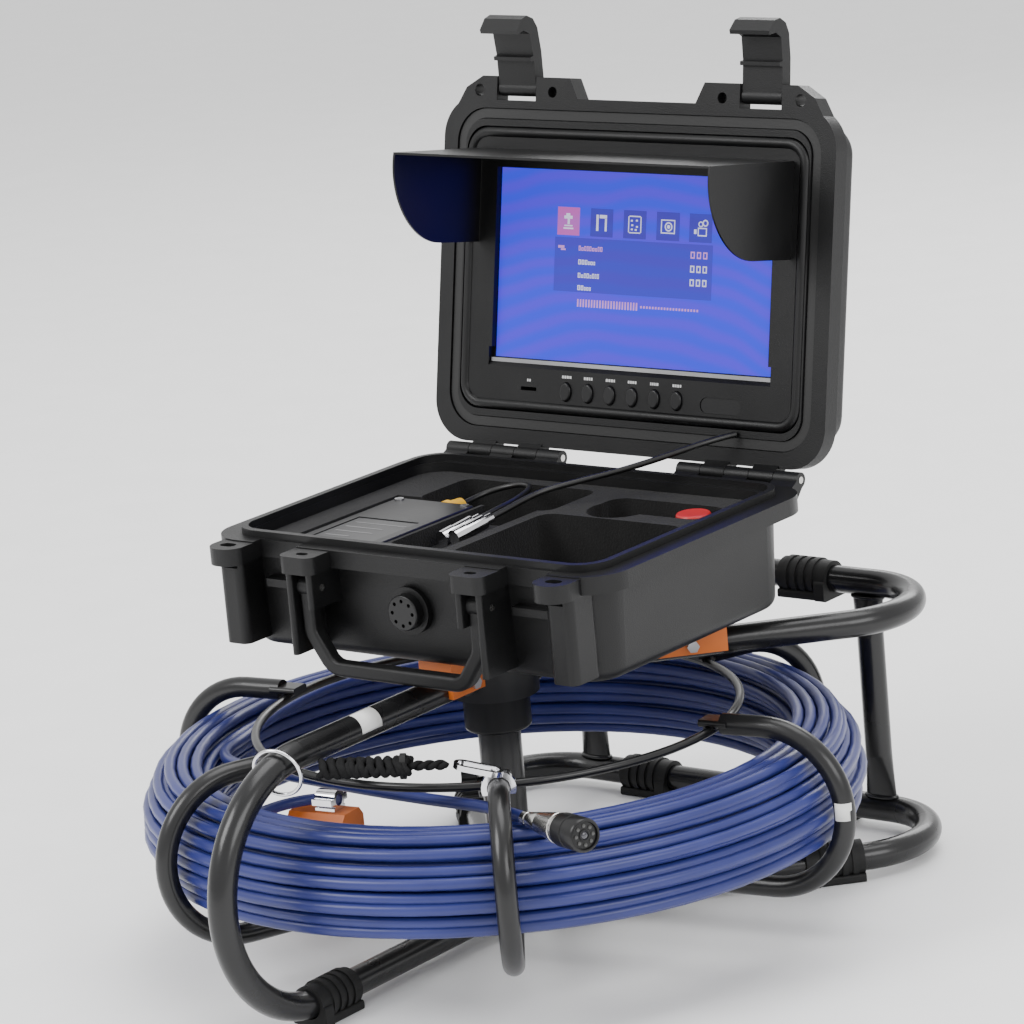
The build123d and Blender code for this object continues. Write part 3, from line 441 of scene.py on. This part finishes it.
# ---- leads in the case ---------------------------------------------------------------
VIDEO_LEAD = [
    (79.5, 138.3, 258.0), (73.5, 125.5, 257.6), (61.0, 112.0, 253.6), (45.5, 99.0, 248.6), (29.0, 86.0, 244.2),
    (13.0, 73.0, 241.0), (0.5, 59.5, 238.4), (-4.2, 46.5, 236.0), (-6.5, 34.0, 233.5), (-9.0, 21.5, 231.2),
]
BATTERY_LEAD = [
    (-68.0, 67.6, 222.0), (-66.5, 80.0, 224.0), (-58.0, 90.5, 227.0), (-45.0, 94.5, 229.6), (-32.5, 88.5, 231.2),
    (-25.0, 77.0, 231.9), (-20.0, 63.5, 232.4), (-16.0, 49.5, 232.6), (-16.0, 35.0, 231.9), (-18.5, 22.5, 229.6),
]
video, video_path = cord_tube("video_cord", [H(*p) for p in VIDEO_LEAD], 1.8, M["lead_jacket"], None, res=8)
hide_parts("video_lead")
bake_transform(video)
batt, batt_path = cord_tube("battery_cord", [H(*p) for p in BATTERY_LEAD], 1.7, M["lead_jacket"], "frame", res=8)
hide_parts("battery_lead")

# ---- lanyard -------------------------------------------------------------------------
LA, LB = H(17.0, -175.2, 145.2), H(58.0, -147.5, 143.6)
ld = (LB - LA).normalized()
ls = ld.cross(Vector((0, 0, 1))).normalized()
lu = ls.cross(ld)
LN = (LB - LA).length
KN = 9
for sgn in (1, -1):
    p = []
    m = KN * 12
    for i in range(m + 1):
        t = i / m
        a = 2 * math.pi * t * KN / 2
        side = sgn * 9.2 * math.sin(a)
        side = max(-8.6, min(8.6, side * 1.25))
        up = 2.5 * sgn * math.cos(a) * (1 if True else 0)
        p.append(LA + ld * (0.002 + t * (LN - 0.004)) + ls * (side / 1000) + lu * (up / 1000))
    rod(f"lanyard_weave_{'a' if sgn > 0 else 'b'}", p, 2.1, M["cord_weave"], "frame", res=3, bres=3)
for k in range(KN + 1):
    t = (k + 0.0) / KN
    c = LA + ld * (0.0022 + t * (LN - 0.0044))
    loop = [c + ls * (math.cos(a) * 9.4 / 1000) + lu * (math.sin(a) * 3.0 / 1000) + ld * (0.0016 * math.sin(2 * a + k))
            for a in [2 * math.pi * j / 12 for j in range(12)]]
    rod(f"lanyard_knot_{k}", loop, 1.75, M["cord_weave"], "frame", cyclic=True, res=3, bres=3)
for sgn in (1, -1):
    p = [LB + ld * (t / 1000) + ls * (sgn * 2.5 * math.cos(t * 0.55) / 1000) + lu * (1.3 * sgn * math.sin(t * 0.55) / 1000) for t in range(-3, 21, 2)]
    rod(f"lanyard_braid_{'a' if sgn > 0 else 'b'}", p, 1.7, M["cord_weave"], "frame", res=4, bres=3)
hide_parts("lanyard")
band = lathe("lanyard_rubber_band", LB - ld * 0.006, ld, [(0, 6.6), (0, 7.0), (3.2, 7.0), (3.2, 6.6)], M["foot_rubber"], "frame")

# ---- visor, rides on the lid ----------------------------------------------------------
vis_me = N["sun_visor"].data.copy()
vis = bpy.data.objects.new("folding_visor", vis_me)
bpy.context.collection.objects.link(vis)
for ms in vis.material_slots:
    ms.material = M["visor_plastic"]
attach(vis, "lid")
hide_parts("sun_visor")
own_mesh(vis)

# ---- picture on the screen ------------------------------------------------------------
SCR = glow("screen_picture", (0.035, 0.045, 0.95), 1.0, alt=(0.085, 0.035, 0.9))
TILE = glow("screen_tile", (0.05, 0.045, 0.55), 0.9, alt=(0.06, 0.04, 0.5))
PINK = glow("screen_selected", (0.55, 0.11, 0.5), 1.0, alt=(0.5, 0.12, 0.55))
PANEL = glow("screen_panel", (0.045, 0.045, 0.62), 0.95, alt=(0.06, 0.04, 0.58))
LINE = glow("screen_line", (0.75, 0.77, 1.0), 1.0, pattern=0.1)
ROSE = glow("screen_rose", (0.75, 0.33, 0.85), 0.9, pattern=0.1)
on_screen("screen_image", -98.6, 98.6, 56.4, 167.6, -6.38, -6.2, SCR)


def ink(name, x0, x1, v0, v1, material, lift=0.0):
    return on_screen(name, x0, x1, v0, v1, -6.12 + lift, -6.07 + lift, material)


def ring(name, x, v, r0, r1, material):
    return lathe(name, L(x, v, -6.12), LW, [(0, r0), (0, r1), (0.05, r1), (0.05, r0)], material, "lid", n=28)


icons = [(-56.6, -40.5), (-32.6, -16.4), (-8.8, 7.4), (14.8, 31.1), (38.0, 54.0)]
for i, (x0, x1) in enumerate(icons):
    on_screen(f"screen_tile_{i}", x0, x1, 129.8, 146.2, -6.2, -6.12, PINK if i == 0 else TILE)
    cx, cy = (x0 + x1) / 2, 138.0
    if i == 0:      # a leaf over two lines of ground
        ink("icon0_a", cx - 3.6, cx + 3.6, cy - 4.6, cy - 3.7, LINE)
        ink("icon0_b", cx - 3.0, cx + 3.0, cy - 3.0, cy - 2.2, LINE)
        ink("icon0_c", cx - 0.7, cx + 0.9, cy - 1.8, cy + 2.6, LINE)
        ink("icon0_d", cx - 3.2, cx + 2.8, cy + 1.4, cy + 3.2, LINE)
        ink("icon0_e", cx - 1.8, cx + 1.0, cy + 3.2, cy + 4.6, LINE)
    elif i == 1:    # two hand tools
        ink("icon1_a", cx - 3.9, cx - 2.3, cy - 4.8, cy + 4.6, LINE)
        ink("icon1_b", cx + 2.3, cx + 3.7, cy - 4.8, cy + 2.4, LINE)
        ink("icon1_c", cx - 1.6, cx + 3.7, cy + 2.6, cy + 4.6, LINE)
    elif i == 2:    # a round-cornered sheet with marks
        ink("icon2_a", cx - 4.0, cx + 4.0, cy + 4.4, cy + 5.1, LINE)
        ink("icon2_b", cx - 4.0, cx + 4.0, cy - 5.1, cy - 4.4, LINE)
        ink("icon2_c", cx - 4.7, cx - 4.0, cy - 4.6, cy + 4.6, LINE)
        ink("icon2_d", cx + 4.0, cx + 4.7, cy - 4.6, cy + 4.6, LINE)
        for k, (a, b) in enumerate(((-2.2, 2.2), (1.4, 2.4), (-1.8, -0.4), (1.6, -1.2), (-2.0, -2.8), (0.8, -3.0))):
            ink(f"icon2_m{k}", cx + a - 0.7, cx + a + 0.7, cy + b - 0.5, cy + b + 0.5, LINE)
    elif i == 3:    # a stills camera
        ink("icon3_a", cx - 5.0, cx + 5.0, cy + 3.2, cy + 3.9, LINE)
        ink("icon3_b", cx - 5.0, cx + 5.0, cy - 4.2, cy - 3.5, LINE)
        ink("icon3_c", cx - 5.0, cx - 4.3, cy - 4.2, cy + 3.9, LINE)
        ink("icon3_d", cx + 4.3, cx + 5.0, cy - 4.2, cy + 3.9, LINE)
        ring("icon3_e", cx + 0.4, cy - 0.2, 1.9, 2.7, LINE)
        ring("icon3_f", cx + 0.4, cy - 0.2, 0.0, 1.1, LINE)
    else:           # a film camera
        ink("icon4_a", cx - 2.0, cx + 4.4, cy - 4.6, cy - 3.9, LINE)
        ink("icon4_b", cx - 2.0, cx + 4.4, cy - 0.4, cy + 0.3, LINE)
        ink("icon4_c", cx - 2.0, cx - 1.3, cy - 4.6, cy + 0.3, LINE)
        ink("icon4_d", cx + 3.7, cx + 4.4, cy - 4.6, cy + 0.3, LINE)
        ring("icon4_e", cx + 0.0, cy + 2.2, 1.0, 1.7, LINE)
        ring("icon4_f", cx + 3.2, cy + 3.0, 1.2, 2.0, LINE)
        ink("icon4_g", cx - 4.6, cx - 2.8, cy - 3.4, cy - 0.8, LINE)
on_screen("screen_menu", -58, 55, 97, 128.6, -6.2, -6.12, PANEL)
# rows of a plain menu: short dashes stand for words, small blocks for the values
qm = random.Random(11)
for k, (v, mat_row, words) in enumerate(((122.4, ROSE, (3.1, 17.2)), (114.4, LINE, (3.1, 12.5)), (106.6, LINE, (3.1, 14.0)), (99.4, LINE, (3.1, 9.8)))):
    x = -40.5
    j = 0
    while x < -40.5 + words[1]:
        wd = qm.uniform(1.1, 2.0)
        tall = 2.9 if j == 0 else qm.choice((2.0, 2.0, 2.8))
        ink(f"menu_{k}_{j}", x, x + wd, v - 1.2, v - 1.2 + tall, mat_row)
        ink(f"menu_{k}_{j}_gap", x + wd * 0.38, x + wd * 0.68, v - 0.7, v - 1.2 + tall - 0.5, PANEL, lift=0.02)
        x += wd + 0.45
        j += 1
    if k < 3:
        for j in range(3):
            x0 = 39.6 + 4.4 * j
            ink(f"value_{k}_{j}", x0, x0 + 3.0, v - 2.0, v + 2.0, mat_row)
            ink(f"value_{k}_{j}_gap", x0 + 0.8, x0 + 2.2, v - 1.2, v + 1.2, PANEL, lift=0.02)
ink("menu_pointer_a", -55.5, -51.0, 122.2, 123.8, ROSE)
ink("menu_pointer_b", -53.5, -50.0, 121.0, 122.0, ROSE)
for k in range(22):
    on_screen(f"slider_bar_{k}", -40.4 + 2.02 * k, -39.3 + 2.02 * k, 88.5, 93.0, -6.2, -6.12, ROSE)
for k in range(20):
    on_screen(f"slider_dot_{k}", 5.2 + 2.1 * k, 6.4 + 2.1 * k, 90.0, 91.4, -6.2, -6.12, ROSE)

# bezel: silver lower lip and button legends
on_screen("bezel_lip", -100.5, 100.5, 51.6, 55.6, -4.6, -3.9, M["lip_silver"])
BX = [-43.0 + 15.9 * i for i in range(6)]
qk = random.Random(5)
for i, x in enumerate(BX):
    # short generic legend above each key
    w0 = x - 3.2
    for j in range(4):
        wd = qk.uniform(0.9, 1.5)
        on_screen(f"key_mark_{i}_{j}", w0, w0 + wd, 46.4, 48.0, -2.0, -1.94, M["white_print"])
        w0 += wd + 0.45
for j in range(2):
    on_screen(f"card_mark_{j}", -71.8 + 1.6 * j, -70.8 + 1.6 * j, 43.0, 44.5, -2.0, -1.94, M["white_print"])

# rounded bead round the monitor
bead_pts = []
BW, BV0, BV1, BR = 118.6, 28.4, 188.2, 12.0
for cx, cv, a0 in ((BW - BR, BV1 - BR, 0), (-BW + BR, BV1 - BR, 90), (-BW + BR, BV0 + BR, 180), (BW - BR, BV0 + BR, 270)):
    for k in range(7):
        a = math.radians(a0 + 15 * k)
        bead_pts.append(L(cx + BR * math.cos(a), cv + BR * math.sin(a), -3.6))
full = []
for p, q in zip(bead_pts, bead_pts[1:] + bead_pts[:1]):
    full.append(p)
    if (q - p).length > 0.02:
        full += [p.lerp(q, t) for t in (0.03, 0.5, 0.97)]
rod("monitor_bead", full, 3.3, M["bezel_plastic"], "lid", cyclic=True, res=3, bres=5)

# visor fixings on the bezel
for k, x in enumerate((-92, -46, 0, 46, 92)):
    lathe(f"visor_rivet_{k}", L(x, 176.2, -0.2) + LV * 0.0, LW, [(-1.6, 0), (-1.6, 2.0), (0.3, 1.8), (0.7, 0)], M["knob_plastic"], "lid", n=18)

# ---- case trim -------------------------------------------------------------------------
# moulded stiffening ribs on the back of the lid
for k, x in enumerate((-78, -26, 26, 78)):
    on_screen(f"lid_back_rib_{k}", x - 5, x + 5, 42, 172, -39.9, -37.6, M["case_plastic"], bevel=0.0015)
on_screen("lid_back_plate", -104, 104, 32, 36, -39.7, -37.6, M["case_plastic"], bevel=0.001)
on_screen("lid_back_plate_top", -104, 104, 178, 182, -39.7, -37.6, M["case_plastic"], bevel=0.001)
# screws in the lid's front tabs
for sx in (-1, 1):
    screw(f"lid_tab_screw_{'l' if sx < 0 else 'r'}", L(sx * 60.5, 212.5, -7.6), LW, 2.6, M["knob_plastic"], "lid", proud=1.0)
# battery label: plain generic bars
for k in range(4):
    slab(f"battery_bar_{k}", H(-73, -15.5, 227.6), Vector((1, 0, 0)), Vector((0, 1, 0)), Vector((0, 0, 1)),
         -17, 6 - 5 * k + (9 if k % 2 else 14), 14 - 9 * k, 15.2 - 9 * k, 0, 0.12, M["grey_print"], "frame")


# ---- plain labels on the tubes -----------------------------------------------------------
def wrap(name, centre, axis, up, r, a0, a1, length, material, body):
    """a label bent round a tube: angles in degrees from up about axis"""
    axis = axis.normalized()
    up = (up - axis * up.dot(axis)).normalized()
    side = axis.cross(up)
    verts, faces = [], []
    n = 14
    for k in range(n + 1):
        a = math.radians(a0 + (a1 - a0) * k / n)
        d = up * math.cos(a) + side * math.sin(a)
        for rr in (r, r + 0.15):
            for s in (-length / 2, length / 2):
                verts.append(centre + axis * (s / 1000) + d * (rr / 1000))
    for k in range(n):
        b = 4 * k
        faces += [(b + 2, b + 3, b + 7, b + 6), (b, b + 4, b + 5, b + 1), (b, b + 2, b + 6, b + 4), (b + 1, b + 5, b + 7, b + 3)]
    faces += [(0, 1, 3, 2), (4 * n, 4 * n + 2, 4 * n + 3, 4 * n + 1)]
    return mesh(name, verts, faces, material, body, smooth=True)


wrap("front_tube_label", H(0, -118, 150.6), Vector((0, -1, 0)), Vector((0.75, 0, 0.65)), 8.03, -52, 52, 17, M["white_label"], "frame")
c8, s8 = math.cos(math.radians(8)), math.sin(math.radians(8))
wrap("hoop_label", H(213.0 * c8, 213.0 * s8, 84), Vector((0, 0, 1)), Vector((0.6, -0.8, 0)), 6.2, -55, 40, 10, M["white_label"], "reel")

# ---- weld beads ---------------------------------------------------------------------------
def bead(name, centre, axis, r, t, body, slot, seed):
    q = random.Random(seed)
    axis = axis.normalized()
    u = axis.orthogonal().normalized()
    w = axis.cross(u)
    p = []
    for k in range(20):
        a = 2 * math.pi * k / 20
        rr = (r + q.uniform(-0.25, 0.25)) / 1000
        p.append(centre + (u * math.cos(a) + w * math.sin(a)) * rr)
    return rod(name, p, t, M[slot], body, cyclic=True, res=3, bres=3)


for k in range(6):
    a = math.radians(-52 + 60 * k)
    c, s = math.cos(a), math.sin(a)
    bead(f"hub_weld_{k}", H(16.4 * c, 16.4 * s, 35.7), Vector((c, s, 0)), 6.1, 1.3, "reel", "cage_paint", k)
    # fillet of weld where the flattened tab meets the ring
    t = Vector((-s, c, 0))
    ctr = H(RING := 136.8 * c, 136.8 * s, 126.6)
    for sg in (-1, 1):
        o = Vector((c, s, 0)) * (sg * 0.0022)
        rod(f"tab_weld_{k}_{'i' if sg < 0 else 'o'}", [ctr + o + t * (j * 0.0021) + Vector((0, 0, -0.0002 * abs(j))) for j in range(-3, 4)], 1.1,
            M["cage_paint"], "reel", res=3, bres=3)
for z, nm in ((150.6, "upper"), (12.0, "lower")):
    for k, dg in enumerate((-90, 45, 135)):
        a = math.radians(dg)
        bead(f"{nm}_hub_weld_{k}", H(25.2 * math.cos(a), 25.2 * math.sin(a), z), Vector((math.cos(a), math.sin(a), 0)), 8.2, 1.4, "frame", "hub_paint", 20 + k)
for sx in (-1, 1):
    for z, nm in ((20.2, "low"), (142.4, "top")):
        p = [H(sx * 105 + 10.4 * math.cos(t), 222 + 3.8 * math.sin(t), z) for t in [2 * math.pi * j / 16 for j in range(16)]]
        rod(f"strut_weld_{nm}_{'l' if sx < 0 else 'r'}", p, 1.3, M["tube_paint"], "frame", cyclic=True, res=3, bres=3)

# ---- floor and light ------------------------------------------------------------------------
fl = bpy.data.meshes.new("floor")
fl.from_pydata([(-12, -12, 0), (12, -12, 0), (12, 12, 0), (-12, 12, 0)], [], [(0, 1, 2, 3)])
floor = bpy.data.objects.new("floor", fl)
bpy.context.collection.objects.link(floor)
fm = mat("floor_pale", (0.93, 0.93, 0.93), 0.6, bump=0.02, scale=30, var=0.01)
floor.data.materials.append(fm)

world = bpy.data.worlds.new("studio")
bpy.context.scene.world = world
world.use_nodes = True
world.node_tree.nodes["Background"].inputs["Color"].default_value = (1, 1, 1, 1)
world.node_tree.nodes["Background"].inputs["Strength"].default_value = 1.15


def area(name, loc, target, size, energy):
    d = bpy.data.lights.new(name, "AREA")
    d.shape = "RECTANGLE"
    d.size, d.size_y = size
    d.energy = energy
    o = bpy.data.objects.new(name, d)
    bpy.context.collection.objects.link(o)
    o.location = loc
    o.rotation_euler = (Vector(target) - Vector(loc)).to_track_quat("-Z", "Y").to_euler()
    return o


area("key_light", (-0.9, -1.7, 1.9), (0, 0, 0.2), (1.2, 1.2), 42)
area("fill_light", (2.2, -0.6, 1.3), (0, 0, 0.2), (1.4, 1.0), 22)
area("top_light", (0.1, 0.4, 2.4), (0, 0, 0.15), (1.8, 1.4), 30)
area("rim_light", (-0.6, 2.1, 1.4), (0, 0, 0.25), (1.4, 0.8), 20)
